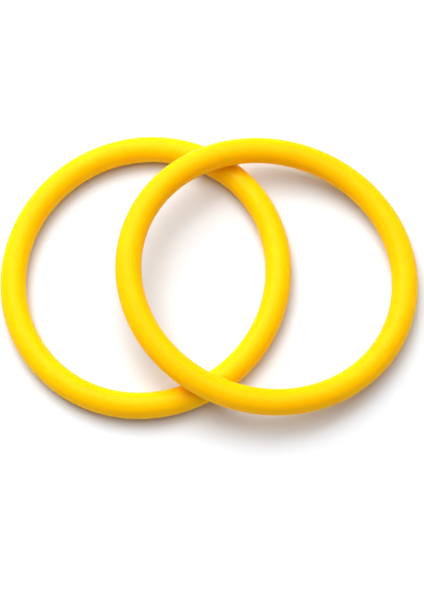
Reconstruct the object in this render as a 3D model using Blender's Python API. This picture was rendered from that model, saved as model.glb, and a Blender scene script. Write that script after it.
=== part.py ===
"""Two round-section juggling rings, one leaning on the other.

The lower ring lies flat on the ground. The upper ring lies across it: it rests on the lower
ring where the two cross, and its far side comes down to the ground. The lean isn't typed in,
it is worked out from the sizes, so the rings stay in contact when a size is changed.

Soft moulded rings are never quite round. Each one is slightly oval in its own direction, and
with its oval value at zero it is a true circle.

Units are metres, +Z is up and the ground is z = 0. +X points from the lower ring to the upper
one, and the origin is under the middle of the pair.
"""

import math

import bmesh
import bpy
import numpy as np
from mathutils import Matrix, Vector

# Driving sizes
OUTER_DIAMETER = 0.170     # across the outside of one ring, on average
BAR_DIAMETER = 0.0148      # thickness of the round bar that makes the ring
CENTRE_SPACING = 0.070     # from centre to centre, seen from above
CONTACT_GAP = 0.0003       # least air left between the two surfaces where they touch

# How far each ring is out of round, as a share of its radius, and which way it is longest
LOWER_OVAL = 0.024
LOWER_LONG_WAY = math.radians(78)
UPPER_OVAL = 0.019
UPPER_LONG_WAY = math.radians(-14)

# How finely the curves are divided
RING_SEGMENTS = 96
BAR_SIDES = 24
CONTACT_SAMPLES = 720
BISECTION_STEPS = 30

# Sizes that follow from the driving ones
BAR_RADIUS = BAR_DIAMETER / 2
RING_RADIUS = (OUTER_DIAMETER - BAR_DIAMETER) / 2    # to the middle of the bar
SIDE_ANGLE = 2 * math.pi / BAR_SIDES
CORNER_RADIUS = BAR_RADIUS / math.cos(SIDE_ANGLE / 2)
STEEPEST_LEAN = math.radians(60)

# The moulded colour: one yellow right through
YELLOW = (0.93, 0.55, 0.01, 1.0)
ROUGHNESS = 0.42


def clear_scene():
    """Remove whatever the scene starts with."""
    for leftover in list(bpy.data.objects):
        bpy.data.objects.remove(leftover, do_unlink=True)


def ring_material(name):
    """A solid satin yellow for one ring."""
    material = bpy.data.materials.new(name)
    material.use_nodes = True
    shader = material.node_tree.nodes["Principled BSDF"]
    shader.inputs["Base Color"].default_value = YELLOW
    shader.inputs["Roughness"].default_value = ROUGHNESS
    shader.inputs["Metallic"].default_value = 0.0
    return material


def bulge(angle, oval, long_way):
    """How far the middle of the bar stands outside a true circle in this direction."""
    return RING_RADIUS * oval * np.cos(2 * (angle - long_way))


def bar_section(bm):
    """Draw the bar's section in the XZ plane and return its geometry.

    The polygon is turned half a side, so that it has a flat at the bottom for the ring to
    rest on, and its flats, not its corners, are one bar radius from the middle.
    """
    corners = []
    for side in range(BAR_SIDES):
        angle = (side + 0.5) * SIDE_ANGLE
        x = RING_RADIUS + CORNER_RADIUS * math.cos(angle)
        z = CORNER_RADIUS * math.sin(angle)
        corners.append(bm.verts.new((x, 0, z)))
    edges = [bm.edges.new((corners[i - 1], corners[i])) for i in range(BAR_SIDES)]
    return corners + edges


def ring_mesh(name, oval, long_way):
    """Spin the bar's section once round the ring's axis, then ease the ring out of round."""
    bm = bmesh.new()
    bmesh.ops.spin(bm, geom=bar_section(bm), cent=(0, 0, 0), axis=(0, 0, 1),
                   angle=2 * math.pi, steps=RING_SEGMENTS, use_merge=True)
    for vertex in bm.verts:
        outward = Vector((vertex.co.x, vertex.co.y, 0)).normalized()
        angle = math.atan2(outward.y, outward.x)
        vertex.co += outward * float(bulge(angle, oval, long_way))
    bmesh.ops.recalc_face_normals(bm, faces=bm.faces)
    mesh = bpy.data.meshes.new(name)
    bm.to_mesh(mesh)
    bm.free()
    mesh.shade_smooth()
    return mesh


def leaning(points, lean):
    """Points of a ring about its own centre, after it leans down towards +X."""
    return points @ np.array(Matrix.Rotation(lean, 3, "Y")).T


def mesh_points(mesh):
    """The mesh's corners as rows of x, y and z."""
    return np.array([vertex.co for vertex in mesh.vertices])


def resting_place(mesh, across, lean):
    """Where a ring's centre is when its lowest point is on the ground."""
    lowest = leaning(mesh_points(mesh), lean)[:, 2].min()
    return Vector((across, 0, -float(lowest)))


def bar_middle(oval, long_way):
    """Points along the middle of the bar, about the ring's own centre."""
    angle = np.linspace(0, 2 * math.pi, CONTACT_SAMPLES, endpoint=False)
    radius = RING_RADIUS + bulge(angle, oval, long_way)
    return np.stack([radius * np.cos(angle), radius * np.sin(angle), 0 * angle], axis=1)


def distance_between_bars(lower_mesh, upper_mesh, lean):
    """Shortest distance between the middles of the two bars at this lean."""
    lower = bar_middle(LOWER_OVAL, LOWER_LONG_WAY)
    lower = lower + np.array(resting_place(lower_mesh, 0, 0))
    upper = leaning(bar_middle(UPPER_OVAL, UPPER_LONG_WAY), lean)
    upper = upper + np.array(resting_place(upper_mesh, CENTRE_SPACING, lean))
    apart = upper[:, None, :] - lower[None, :, :]
    return math.sqrt((apart ** 2).sum(axis=2).min())


def resting_lean(lower_mesh, upper_mesh):
    """The lean at which the upper ring just rests on the lower one, by bisection."""
    touching = 2 * CORNER_RADIUS + CONTACT_GAP
    too_flat = 0.0
    too_steep = STEEPEST_LEAN
    for step in range(BISECTION_STEPS):
        middle = (too_flat + too_steep) / 2
        if distance_between_bars(lower_mesh, upper_mesh, middle) < touching:
            too_flat = middle
        else:
            too_steep = middle
    return too_steep


def add_ring(mesh, location, lean):
    """Place one ring by its centre."""
    ring = bpy.data.objects.new(mesh.name, mesh)
    mesh.materials.append(ring_material(mesh.name))
    ring.location = location
    ring.rotation_euler = (0, lean, 0)
    bpy.context.collection.objects.link(ring)
    return ring


def centre_on_origin(rings):
    """Slide the rings together, so that the middle of their box stands over the origin."""
    bpy.context.view_layer.update()
    reach = np.array([ring.matrix_world @ vertex.co for ring in rings
                      for vertex in ring.data.vertices])
    middle = (reach.min(axis=0) + reach.max(axis=0)) / 2
    for ring in rings:
        ring.location.x -= middle[0]
        ring.location.y -= middle[1]


def build():
    """Make the pair."""
    clear_scene()
    lower_mesh = ring_mesh("lower_ring", LOWER_OVAL, LOWER_LONG_WAY)
    upper_mesh = ring_mesh("upper_ring", UPPER_OVAL, UPPER_LONG_WAY)
    lean = resting_lean(lower_mesh, upper_mesh)
    lower_ring = add_ring(lower_mesh, resting_place(lower_mesh, 0, 0), 0)
    upper_ring = add_ring(upper_mesh, resting_place(upper_mesh, CENTRE_SPACING, lean), lean)
    centre_on_origin([lower_ring, upper_ring])


build()
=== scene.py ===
# %% [markdown]
# # A pair of juggling rings
#
# Two rings of soft yellow rubber lie on a white table. One is flat and the other leans
# across it. There is nothing else to them: no print, no hardware, no seam that catches the
# eye. So this lesson is about the two things that make such a plain object look real: a
# shape that is measured with care, and a surface that isn't perfectly even.
#
# Everything is in metres, with +Z up and the table at z = 0.

# %% Load the frame
import math
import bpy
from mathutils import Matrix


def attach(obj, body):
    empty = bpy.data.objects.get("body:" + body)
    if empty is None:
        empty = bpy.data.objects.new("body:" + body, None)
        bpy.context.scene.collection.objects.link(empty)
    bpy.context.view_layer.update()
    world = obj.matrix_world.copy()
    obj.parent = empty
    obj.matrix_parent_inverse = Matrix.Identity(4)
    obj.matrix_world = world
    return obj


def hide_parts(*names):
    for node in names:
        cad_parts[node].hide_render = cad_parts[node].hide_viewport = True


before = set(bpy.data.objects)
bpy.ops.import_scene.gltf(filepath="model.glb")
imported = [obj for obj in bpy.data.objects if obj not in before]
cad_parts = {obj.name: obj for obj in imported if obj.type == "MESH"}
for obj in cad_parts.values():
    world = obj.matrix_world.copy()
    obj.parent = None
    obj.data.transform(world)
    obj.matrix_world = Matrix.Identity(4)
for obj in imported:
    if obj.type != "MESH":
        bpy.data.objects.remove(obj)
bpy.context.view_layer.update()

from types import SimpleNamespace

import bpy
import numpy as np
from mathutils import Matrix, Vector

MILLIMETRE = 0.001
print("CAD nodes:", sorted(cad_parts))

# %% [markdown]
# ## Measuring the rings
#
# The fine rings must lie exactly where the plain CAD rings lie. Their sizes could be typed
# in again, but then two files would hold the same numbers and could drift apart. It is
# safer to measure the CAD rings.
#
# The corners of a ring spread widely in its own plane and hardly at all along its axis, so
# a singular value decomposition of the corners finds the axis. In the plane, the mean
# distance from the centre is the ring's radius. The part of that distance that rises and
# falls twice in a turn says how oval the ring is, and which way it is longest. Half of the
# height along the axis is the bar's radius.

# %% Measure one ring
def measure_ring(node):
    """Placement and sizes of a CAD ring, from its own corners."""
    corners = np.array([vertex.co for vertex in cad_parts[node].data.vertices], float)
    centre = corners.mean(axis=0)
    axis = np.linalg.svd(corners - centre, full_matrices=False)[2][2]
    axis = axis * np.sign(axis[2])
    across = np.array([1.0, 0.0, 0.0]) - axis[0] * axis
    across = across / np.linalg.norm(across)
    away = np.cross(axis, across)
    own_axes = np.stack([across, away, axis], axis=1)
    x, y, z = ((corners - centre) @ own_axes).T
    distance = np.hypot(x, y)
    angle = np.arctan2(y, x)
    cosine_part = 2 * (distance * np.cos(2 * angle)).mean()
    sine_part = 2 * (distance * np.sin(2 * angle)).mean()
    return SimpleNamespace(
        placement=Matrix.Translation(centre) @ Matrix(own_axes).to_4x4(),
        mean_radius=float(distance.mean()),
        bar_radius=float(np.abs(z).max()),
        oval=math.hypot(cosine_part, sine_part) / float(distance.mean()),
        long_way=math.atan2(sine_part, cosine_part) / 2,
    )


lower = measure_ring("lower_ring")
upper = measure_ring("upper_ring")
for name, ring in (("lower", lower), ("upper", upper)):
    lean = math.degrees(math.acos(ring.placement[2][2]))
    print(f"{name} ring: radius {ring.mean_radius * 1000:.2f} mm, "
          f"bar {2 * ring.bar_radius * 1000:.2f} mm thick, lean {lean:.2f} degrees, "
          f"oval {ring.oval:.3f} at {math.degrees(ring.long_way):.0f} degrees")

# %% [markdown]
# ## Node maths that reads like maths
#
# Both the shape and the rubber are built from nodes. A Multiply here and an Add there soon
# hide the formula, so one small class wraps the output of a node and gives it the usual
# operators. `1 - mask * 0.5` then adds the Math nodes by itself. The same class serves
# geometry and materials, because both use the same Math node.
#
# Any other node comes from one method. It takes the node's type, its settings, which are
# put in place first, and then the values or links of its sockets.

# %% The two helper classes
class Value:
    """The output of a node, with the operators of ordinary arithmetic."""

    def __init__(self, graph, socket):
        self.graph = graph
        self.socket = socket

    def __add__(self, other):
        return self.graph.maths("ADD", self, other)

    def __radd__(self, other):
        return self.graph.maths("ADD", other, self)

    def __sub__(self, other):
        return self.graph.maths("SUBTRACT", self, other)

    def __rsub__(self, other):
        return self.graph.maths("SUBTRACT", other, self)

    def __mul__(self, other):
        return self.graph.maths("MULTIPLY", self, other)

    def __rmul__(self, other):
        return self.graph.maths("MULTIPLY", other, self)

    def __truediv__(self, other):
        return self.graph.maths("DIVIDE", self, other)

    def __pow__(self, other):
        return self.graph.maths("POWER", self, other)


class Graph:
    """A node tree that grows as it is written."""

    def __init__(self, tree):
        self.tree = tree

    def node(self, kind, settings=None, sockets=None, output=0):
        """Add a node, set it up, feed its sockets and return one of its outputs."""
        node = self.tree.nodes.new(kind)
        for setting, value in (settings or {}).items():
            setattr(node, setting, value)
        for name, value in (sockets or {}).items():
            self.feed(node.inputs[name], value)
        return Value(self, node.outputs[output])

    def feed(self, socket, value):
        """Give a socket a link, or a plain value."""
        if isinstance(value, Value):
            self.tree.links.new(value.socket, socket)
        else:
            socket.default_value = value

    def maths(self, operation, *values):
        """One Math node."""
        return self.node("ShaderNodeMath", {"operation": operation}, dict(enumerate(values)))

    def vectors(self, operation, *values, output="Vector"):
        """One Vector Math node."""
        return self.node("ShaderNodeVectorMath", {"operation": operation},
                         dict(enumerate(values)), output)

    def scaled(self, vector, amount):
        """A vector made longer or shorter."""
        return self.node("ShaderNodeVectorMath", {"operation": "SCALE"},
                         {"Vector": vector, "Scale": amount})

    def xyz(self, vector):
        """The three parts of a vector."""
        parts = self.node("ShaderNodeSeparateXYZ", None, {"Vector": vector}).socket.node.outputs
        return [Value(self, part) for part in parts]

    def smooth(self, value, start, end):
        """0 before start, 1 after end and a soft ramp between them."""
        settings = {"interpolation_type": "SMOOTHSTEP", "clamp": True}
        return self.node("ShaderNodeMapRange", settings,
                         {"Value": value, "From Min": start, "From Max": end})


print("helpers ready")

# %% [markdown]
# ## The shape of a moulded ring
#
# A soft ring is moulded in one piece, in a mould of two halves that meet in the ring's own
# plane. Three things tell it from a perfect torus, and each is a fraction of a millimetre:
#
# - a faint parting ridge runs round the outside and the inside, where the halves met;
# - one small flat pip stands on the inside, where the feed was trimmed off;
# - the bar's thickness wanders a little, because soft rubber shrinks as it cures.
#
# A torus primitive, a spun profile or a modelled quarter could all give the round shape.
# Geometry Nodes are the better way here, because every feature follows a rule: sweep a
# section round a slight oval, then push each point of the skin out by the sum of three
# small amounts. The sizes are named inputs, so one tree makes both rings.

# %% Names that the tree shares with the material
SECTION = "section"       # where a point sits on the bar's round section, from -1 to 1
RIDGE = "parting_ridge"   # 1 on the parting ridge, 0 away from it
PIP = "trimmed_pip"       # 1 on the trimmed feed, 0 away from it
print("attributes:", SECTION, RIDGE, PIP)

# %% The tree's inputs
ring_tree = bpy.data.node_groups.new("Moulded ring", "GeometryNodeTree")


def tree_input(name, kind, default=None):
    """Add a named input to the ring's tree."""
    socket = ring_tree.interface.new_socket(name, in_out="INPUT", socket_type=kind)
    if default is not None:
        socket.default_value = default
    return socket.identifier


ring_inputs = {
    "Mean Radius": tree_input("Mean Radius", "NodeSocketFloat", lower.mean_radius),
    "Bar Radius": tree_input("Bar Radius", "NodeSocketFloat", lower.bar_radius),
    "Oval": tree_input("Oval", "NodeSocketFloat", 0.0),
    "Long Way": tree_input("Long Way", "NodeSocketFloat", 0.0),
    "Stations": tree_input("Stations", "NodeSocketInt", 640),
    "Sides": tree_input("Sides", "NodeSocketInt", 128),
    "Ridge Height": tree_input("Ridge Height", "NodeSocketFloat", 0.07 * MILLIMETRE),
    "Ridge Width": tree_input("Ridge Width", "NodeSocketFloat", 0.45 * MILLIMETRE),
    "Pip Angle": tree_input("Pip Angle", "NodeSocketFloat", 0.0),
    "Pip Radius": tree_input("Pip Radius", "NodeSocketFloat", 1.7 * MILLIMETRE),
    "Pip Height": tree_input("Pip Height", "NodeSocketFloat", 0.22 * MILLIMETRE),
    "Unevenness": tree_input("Unevenness", "NodeSocketFloat", 0.06 * MILLIMETRE),
    "Seed": tree_input("Seed", "NodeSocketFloat", 0.0),
    "Rubber": tree_input("Rubber", "NodeSocketMaterial"),
}
ring_tree.interface.new_socket("Geometry", in_out="OUTPUT", socket_type="NodeSocketGeometry")
print("ring inputs:", ", ".join(ring_inputs))

# %% Sweep the section round the ring
shape = Graph(ring_tree)
given_node = ring_tree.nodes.new("NodeGroupInput")
given = {name: Value(shape, given_node.outputs[name]) for name in ring_inputs}

circle = shape.node("GeometryNodeCurvePrimitiveCircle", {"mode": "RADIUS"},
                    {"Resolution": given["Stations"], "Radius": given["Mean Radius"]})
place = shape.node("GeometryNodeInputPosition")
place_x, place_y = shape.xyz(place)[:2]
turn = shape.maths("ARCTAN2", place_y, place_x)
twice_round = shape.maths("COSINE", 2 * (turn - given["Long Way"]))
swell = given["Mean Radius"] * given["Oval"] * twice_round
outward = shape.vectors("NORMALIZE", place)
middle_line = shape.node("GeometryNodeSetPosition", None,
                         {"Geometry": circle, "Offset": shape.scaled(outward, swell)})

section = shape.node("GeometryNodeCurvePrimitiveCircle", {"mode": "RADIUS"},
                     {"Resolution": given["Sides"], "Radius": given["Bar Radius"]})
on_section = shape.scaled(place, shape.maths("DIVIDE", 1.0, given["Bar Radius"]))
section = shape.node("GeometryNodeStoreNamedAttribute",
                     {"data_type": "FLOAT_VECTOR", "domain": "POINT"},
                     {"Geometry": section, "Name": SECTION, "Value": on_section})
bar = shape.node("GeometryNodeCurveToMesh", None,
                 {"Curve": middle_line, "Profile Curve": section, "Fill Caps": False})
print("section swept")

# %% [markdown]
# ### The three small features
#
# The swept skin remembers where each point sits on the section, as the attribute that was
# stored before the sweep. Its x says how far out the point is and its y how high. The ridge
# is a bell curve of y, so it peaks at the two places where the mould halves met. The pip is
# a disc around one point on the inside. The unevenness is slow noise.

# %% Push the skin out
FACES_INWARDS = (0.5, 0.8)    # the pip may grow where the section faces the ring's middle
PIP_EDGE = (0.75, 1.05)       # it slopes off between these shares of its radius
WANDERING = 28.0              # per metre, so the thickness changes over some 36 mm

skin = shape.node("GeometryNodeInputNamedAttribute", {"data_type": "FLOAT_VECTOR"},
                  {"Name": SECTION}, "Attribute")
skin_out, skin_up = shape.xyz(skin)[:2]
height = skin_up * given["Bar Radius"]
ridge = shape.maths("EXPONENT", (height / given["Ridge Width"]) ** 2 * -1)

inside = shape.smooth(0 - skin_out, *FACES_INWARDS)
along = shape.maths("WRAP", turn - given["Pip Angle"], math.pi, -math.pi) * given["Mean Radius"]
from_pip = shape.maths("SQRT", along ** 2 + height ** 2)
pip = inside * (1 - shape.smooth(from_pip / given["Pip Radius"], *PIP_EDGE))

wander = shape.node("ShaderNodeTexNoise", {"noise_dimensions": "4D"},
                    {"Vector": place, "W": given["Seed"], "Scale": WANDERING, "Detail": 2.0},
                    "Fac")
push = (ridge * given["Ridge Height"] * (1 - pip)
        + pip * given["Pip Height"]
        + (wander - 0.5) * given["Unevenness"])
normal = shape.node("GeometryNodeInputNormal")
bar = shape.node("GeometryNodeSetPosition", None,
                 {"Geometry": bar, "Offset": shape.scaled(normal, push)})

for attribute, mask in ((RIDGE, ridge), (PIP, pip)):
    bar = shape.node("GeometryNodeStoreNamedAttribute", {"data_type": "FLOAT", "domain": "POINT"},
                     {"Geometry": bar, "Name": attribute, "Value": mask})
bar = shape.node("GeometryNodeSetShadeSmooth", None, {"Geometry": bar, "Shade Smooth": True})
bar = shape.node("GeometryNodeRealizeInstances", None, {"Geometry": bar})
bar = shape.node("GeometryNodeSetMaterial", None, {"Geometry": bar, "Material": given["Rubber"]})
result_node = ring_tree.nodes.new("NodeGroupOutput")
shape.feed(result_node.inputs["Geometry"], bar)
print("ring tree has", len(ring_tree.nodes), "nodes")

# %% [markdown]
# ## Yellow rubber
#
# The rubber is coloured right through, with a satin skin that copies the fine grain of the
# mould. A single flat colour looks like a drawing of it. Real rubber differs slightly from
# place to place: the pigment is a touch deeper here and there, the skin shines a little
# more where it has been handled, and a few flecks of dust or dark pigment are caught in it.
# The two rings differ too, as two mixes of rubber do: the leaning one is a shade deeper.
#
# Some light enters the rubber and comes out again nearby. The red part of it travels
# furthest and the blue part hardly at all, so the shaded side of the bar turns to a warm
# orange and not to brown. The shader's own subsurface setting does that. The skin has only
# a weak shine, so the specular level is low. Both are the same all over, so they are set on
# the shader itself.

# %% Colours and finish
DEEP_YELLOW = (0.965, 0.49, 0.0003, 1.0)
LEMON_YELLOW = (0.975, 0.545, 0.0006, 1.0)
RIDGE_YELLOW = (0.98, 0.59, 0.002, 1.0)
FLECK_OLIVE = (0.42, 0.38, 0.002, 1.0)

SATIN = 0.32                     # roughness of the untouched skin
REFRACTION = 1.43
WEAK_SHINE = 0.05
GLOW_SHARE = 0.5                 # how much of the light goes below the skin
GLOW_DEPTH = 9.0 * MILLIMETRE
GLOW_REACH = (1.0, 0.12, 0.02)   # red, green and blue, as shares of that depth
print("yellows from", DEEP_YELLOW[:3], "to", LEMON_YELLOW[:3])

# %% [markdown]
# ### The patterns in the rubber
#
# Four noises at four sizes give all the variation: clouds as long as a finger, handling
# marks, a mottle of a few millimetres and a grain that is only felt. Each has a scale per
# metre, a level of detail, and a shift along the fourth dimension that keeps it apart from
# the others. A texture image would need unwrapping, and would show its seam on a closed
# ring. Noise in the object's own space has no seam.

# %% Scales of the patterns
CLOUDS = (22.0, 3.0, 0.0)
HANDLING = (45.0, 5.0, 13.0)
MOTTLE = (260.0, 4.0, 9.0)
GRAIN = (1500.0, 2.0, 5.0)

# the noise values between which a pattern comes in
CLOUD_RAMP = (0.35, 0.65)
HANDLING_RAMP = (0.45, 0.75)
MOTTLE_RAMP = (0.30, 0.70)
print("clouds repeat about every", round(1 / CLOUDS[0] / MILLIMETRE), "mm")

# %% Strengths of the patterns
CLOUD_LEMON = 0.35               # how far clouds and mottle move the yellow to lemon
MOTTLE_LEMON = 0.20
RIDGE_PALENESS = 0.5
PIP_PALENESS = 0.3
PIP_BLOTCHES = 0.5               # the pip's paleness is uneven, because it was torn off

MOTTLE_DULLNESS = 0.06           # added to the roughness
PIP_DULLNESS = 0.20
RIDGE_DULLNESS = 0.05
HANDLED_SHINE = 0.05             # taken off the roughness

GRAIN_RELIEF = 0.012 * MILLIMETRE
MOTTLE_RELIEF = 0.02 * MILLIMETRE
PIP_RELIEF = 0.12 * MILLIMETRE

FLECK_STRENGTH = 0.75
FLECK_RAGGEDNESS = 1.2
FLECK_EDGE = (0.5, 1.1)          # a fleck fades between these shares of its radius
print("roughness about", SATIN, "and up to", round(SATIN + PIP_DULLNESS, 2), "on the pip")

# %% [markdown]
# ### Putting the rubber together
#
# Only the colour, the roughness and the fine relief vary over the skin. The colour starts
# as a mix of two close yellows. The ridge and the pip are then made paler, as rubber is
# where it was trimmed, and the flecks come last, so that nothing covers them. One function
# makes the material, so the two rings share everything but their seed, shade and flecks.

# %% The rubber itself
def rubber(name, seed, lemon, flecks):
    """Moulded yellow rubber.

    lemon is the least share of lemon in its yellow. flecks are points on the skin, each
    with a radius.
    """
    material = bpy.data.materials.new(name)
    material.use_nodes = True
    look = Graph(material.node_tree)
    shader = material.node_tree.nodes["Principled BSDF"]
    spot = look.node("ShaderNodeTexCoord", output="Object")

    def noise(scale, detail, shift):
        return look.node("ShaderNodeTexNoise", {"noise_dimensions": "4D"},
                         {"Vector": spot, "W": seed + shift, "Scale": scale, "Detail": detail},
                         "Fac")

    def mixed(amount, first, second):
        return look.node("ShaderNodeMix", {"data_type": "RGBA"},
                         {"Factor": amount, 6: first, 7: second}, 2)

    def marked(attribute):
        return look.node("ShaderNodeAttribute", {"attribute_name": attribute}, output="Fac")

    cloud = look.smooth(noise(*CLOUDS), *CLOUD_RAMP)
    handled = look.smooth(noise(*HANDLING), *HANDLING_RAMP)
    mottle = look.smooth(noise(*MOTTLE), *MOTTLE_RAMP)
    grain = noise(*GRAIN)
    ridge_mark = marked(RIDGE)
    pip_mark = marked(PIP)

    lemon_share = lemon + cloud * CLOUD_LEMON + mottle * MOTTLE_LEMON
    colour = mixed(lemon_share, DEEP_YELLOW, LEMON_YELLOW)
    colour = mixed(ridge_mark * RIDGE_PALENESS, colour, RIDGE_YELLOW)
    pip_paleness = PIP_PALENESS + mottle * PIP_BLOTCHES
    colour = mixed(pip_mark * pip_paleness, colour, RIDGE_YELLOW)
    for centre, radius in flecks:
        apart = look.vectors("DISTANCE", spot, tuple(centre), output="Value")
        ragged = apart / radius + (grain - 0.5) * FLECK_RAGGEDNESS
        fleck = FLECK_STRENGTH * (1 - look.smooth(ragged, *FLECK_EDGE))
        colour = mixed(fleck, colour, FLECK_OLIVE)
    look.feed(shader.inputs["Base Color"], colour)

    dulled = ((mottle - 0.5) * MOTTLE_DULLNESS
              + pip_mark * PIP_DULLNESS
              + ridge_mark * RIDGE_DULLNESS)
    look.feed(shader.inputs["Roughness"], SATIN + dulled - handled * HANDLED_SHINE)

    relief = grain * GRAIN_RELIEF + mottle * MOTTLE_RELIEF + pip_mark * mottle * PIP_RELIEF
    bump = look.node("ShaderNodeBump", None, {"Height": relief, "Distance": 1.0, "Strength": 1.0})
    look.feed(shader.inputs["Normal"], bump)

    shader.inputs["IOR"].default_value = REFRACTION
    shader.inputs["Specular IOR Level"].default_value = WEAK_SHINE
    shader.inputs["Subsurface Weight"].default_value = GLOW_SHARE
    shader.inputs["Subsurface Radius"].default_value = GLOW_REACH
    shader.inputs["Subsurface Scale"].default_value = GLOW_DEPTH
    return material


print("rubber ready, with 4 patterns")

# %% [markdown]
# ## Flecks
#
# Each fleck is placed the way someone would point at it on a real ring: so many degrees
# round the ring, and so many degrees round the bar from its outside. A short function turns
# that into a point in space.

# %% Place the flecks
def on_skin(ring, round_ring, round_bar):
    """A point on the ring's skin, from its two angles in degrees."""
    turned = math.radians(round_ring)
    raised = math.radians(round_bar)
    swollen = 1 + ring.oval * math.cos(2 * (turned - ring.long_way))
    reach = ring.mean_radius * swollen + ring.bar_radius * math.cos(raised)
    lift = ring.bar_radius * math.sin(raised)
    return ring.placement @ Vector((reach * math.cos(turned), reach * math.sin(turned), lift))


upper_flecks = [
    (on_skin(upper, 316.2, 103.0), 0.80 * MILLIMETRE),
    (on_skin(upper, 116.5, 110.0), 0.30 * MILLIMETRE),
    (on_skin(upper, 205.0, 75.0), 0.25 * MILLIMETRE),
]
lower_flecks = [
    (on_skin(lower, 250.0, 60.0), 0.25 * MILLIMETRE),
    (on_skin(lower, 151.0, 95.0), 0.30 * MILLIMETRE),
]
print(len(upper_flecks) + len(lower_flecks), "flecks placed")

# %% [markdown]
# ## Making the two rings
#
# A modifier with the tree goes on an empty mesh, its inputs are set, and the evaluated
# result is copied into a plain mesh. The empty one then goes, and its modifier with it. The
# ring's placement goes into the new mesh, so the finished object itself stays at the
# origin, as the CAD nodes do. Each ring rides on the body of its CAD node and stands in for
# it, and its rubber comes in as one of the tree's inputs.

# %% Make one ring
def make_ring(name, node, ring, material, pip_angle, seed):
    """A finished ring as one plain mesh, tied to the frame."""
    empty_mesh = bpy.data.meshes.new(name + "_start")
    blank = bpy.data.objects.new(name + "_start", empty_mesh)
    bpy.context.scene.collection.objects.link(blank)
    modifier = blank.modifiers.new("Moulded ring", "NODES")
    modifier.node_group = ring_tree
    values = {
        "Mean Radius": ring.mean_radius,
        "Bar Radius": ring.bar_radius,
        "Oval": ring.oval,
        "Long Way": ring.long_way,
        "Pip Angle": math.radians(pip_angle),
        "Seed": seed,
        "Rubber": material,
    }
    for input_name, value in values.items():
        modifier[ring_inputs[input_name]] = value
    evaluated = blank.evaluated_get(bpy.context.evaluated_depsgraph_get())
    mesh = bpy.data.meshes.new_from_object(evaluated)
    bpy.data.objects.remove(blank, do_unlink=True)
    bpy.data.meshes.remove(empty_mesh)

    mesh.name = name
    mesh.transform(ring.placement)
    piece = bpy.data.objects.new(name, mesh)
    bpy.context.scene.collection.objects.link(piece)
    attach(piece, node)
    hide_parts(node)
    print(name, "has", len(mesh.vertices), "vertices and", len(mesh.polygons), "faces")


lower_rubber = rubber("lower_ring_rubber", seed=3.0, lemon=0.50, flecks=lower_flecks)
upper_rubber = rubber("upper_ring_rubber", seed=8.0, lemon=0.05, flecks=upper_flecks)
make_ring("lower_ring_moulding", "lower_ring", lower, lower_rubber, pip_angle=262.0, seed=1.0)
make_ring("upper_ring_moulding", "upper_ring", upper, upper_rubber, pip_angle=291.0, seed=2.0)

# %% [markdown]
# ## The table
#
# The rings lie on a round white table. Its paint isn't a pure white: a pure white would
# throw so much light back up that the rings lost their shade, and a strong light turns a
# softer white into a clean page anyway. A big square would do as well, but a disc has no
# corner that could show in a low view.

# %% The table
TABLE_RADIUS = 1.2
TABLE_SIDES = 128
SOFT_WHITE = (0.74, 0.74, 0.74, 1.0)
MATT = 0.9

rim = []
for side in range(TABLE_SIDES):
    angle = math.tau * side / TABLE_SIDES
    rim.append((TABLE_RADIUS * math.cos(angle), TABLE_RADIUS * math.sin(angle), 0))
table_mesh = bpy.data.meshes.new("table")
table_mesh.from_pydata(rim, [], [range(TABLE_SIDES)])
table = bpy.data.objects.new("table", table_mesh)
bpy.context.scene.collection.objects.link(table)

paint = bpy.data.materials.new("white paint")
paint.use_nodes = True
paint_shader = paint.node_tree.nodes["Principled BSDF"]
paint_shader.inputs["Base Color"].default_value = SOFT_WHITE
paint_shader.inputs["Roughness"].default_value = MATT
table_mesh.materials.append(paint)
print("table", 2 * TABLE_RADIUS, "m across")

# %% [markdown]
# ## The light
#
# Two big soft lights do most of the work, a tall window at the far left and a bright
# ceiling above the far side. They leave the near side of each ring in its own shade, which
# turns the yellow towards orange, and throw soft shadows towards the viewer. Small lights
# would give hard shadows, and one light alone would give a single deep one. Both are a
# little blue, as daylight is, which keeps the yellow clean.

# %% The two soft lights
COOL_DAYLIGHT = (0.91, 0.96, 1.0)
LIGHT_DISTANCE = 2.5


def soft_light(name, azimuth, elevation, size, power):
    """A square light that faces the rings.

    Azimuth 0 is on the viewer's side and 90 is to the right.
    """
    around = math.radians(azimuth)
    above = math.radians(elevation)
    level_part = math.cos(above)
    towards = Vector((math.sin(around) * level_part, -math.cos(around) * level_part,
                      math.sin(above)))
    lamp = bpy.data.lights.new(name, "AREA")
    lamp.shape = "SQUARE"
    lamp.size = size
    lamp.energy = power
    lamp.color = COOL_DAYLIGHT
    light = bpy.data.objects.new(name, lamp)
    light.location = towards * LIGHT_DISTANCE
    light.rotation_mode = "QUATERNION"
    light.rotation_quaternion = (-towards).to_track_quat("-Z", "Y")
    bpy.context.scene.collection.objects.link(light)
    print(name, "is", size, "m wide and gives", power, "W")


soft_light("window", azimuth=215.0, elevation=50.0, size=2.2, power=70.0)
soft_light("ceiling", azimuth=180.0, elevation=75.0, size=2.7, power=63.0)

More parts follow.
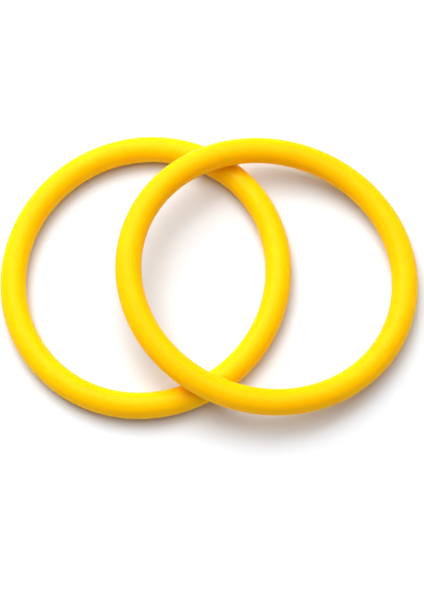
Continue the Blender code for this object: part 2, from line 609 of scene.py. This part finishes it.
# %% [markdown]
# ## The room
#
# Everything that the two lights don't reach is lit by the room. It has pale walls, so a low
# view has a pale background, and above them it is darker, because much light from all
# round would wash the shadows out. The brightness depends only on how high a direction
# points. The room is a touch pink, which keeps the shadows from turning green beside so
# much yellow. The Standard view transform is used because the default one dulls a strong
# yellow.

# %% The room
ROOM_TINT = (1.0, 0.93, 0.99, 1.0)
WALL_BRIGHTNESS = 0.95
UPPER_BRIGHTNESS = 0.22
WALL_TOP = (0.08, 0.30)   # the walls fade out between these heights of a direction

world = bpy.data.worlds.new("room")
world.use_nodes = True
room = Graph(world.node_tree)
up = room.xyz(room.node("ShaderNodeTexCoord", output="Generated"))[2]
above_walls = room.smooth(up, *WALL_TOP)
brightness = WALL_BRIGHTNESS + above_walls * (UPPER_BRIGHTNESS - WALL_BRIGHTNESS)
background = world.node_tree.nodes["Background"]
background.inputs["Color"].default_value = ROOM_TINT
room.feed(background.inputs["Strength"], brightness)
bpy.context.scene.world = world
bpy.context.scene.view_settings.view_transform = "Standard"
print("walls", WALL_BRIGHTNESS, "and above them", UPPER_BRIGHTNESS)

# %% [markdown]
# ## The camera
#
# The camera looks steeply down from the near side, a little from the right and with a
# slight tilt of the hand. It stands about a metre off with a long lens, so the far ring
# looks almost as large as the near one.

# %% Set the camera
LOOK_AT = Vector((0.00245, -0.01087, 0.0))
CAMERA_AZIMUTH = math.radians(9.04)
CAMERA_ELEVATION = math.radians(68.53)
CAMERA_TILT = math.radians(-5.49)
CAMERA_DISTANCE = 1.0895
LENS = 113.97
NEAR_CLIP = 0.05
FAR_CLIP = 20.0

level = math.cos(CAMERA_ELEVATION)
back = Vector((math.sin(CAMERA_AZIMUTH) * level, -math.cos(CAMERA_AZIMUTH) * level,
               math.sin(CAMERA_ELEVATION)))
camera = bpy.data.objects.new("camera", bpy.data.cameras.new("camera"))
camera.data.lens = LENS
camera.data.clip_start = NEAR_CLIP
camera.data.clip_end = FAR_CLIP
camera.location = LOOK_AT + back * CAMERA_DISTANCE
facing = (-back).to_track_quat("-Z", "Y").to_matrix() @ Matrix.Rotation(CAMERA_TILT, 3, "Z")
camera.rotation_euler = facing.to_euler()
bpy.context.scene.collection.objects.link(camera)
bpy.context.scene.camera = camera
print("camera at", tuple(round(c, 3) for c in camera.location))
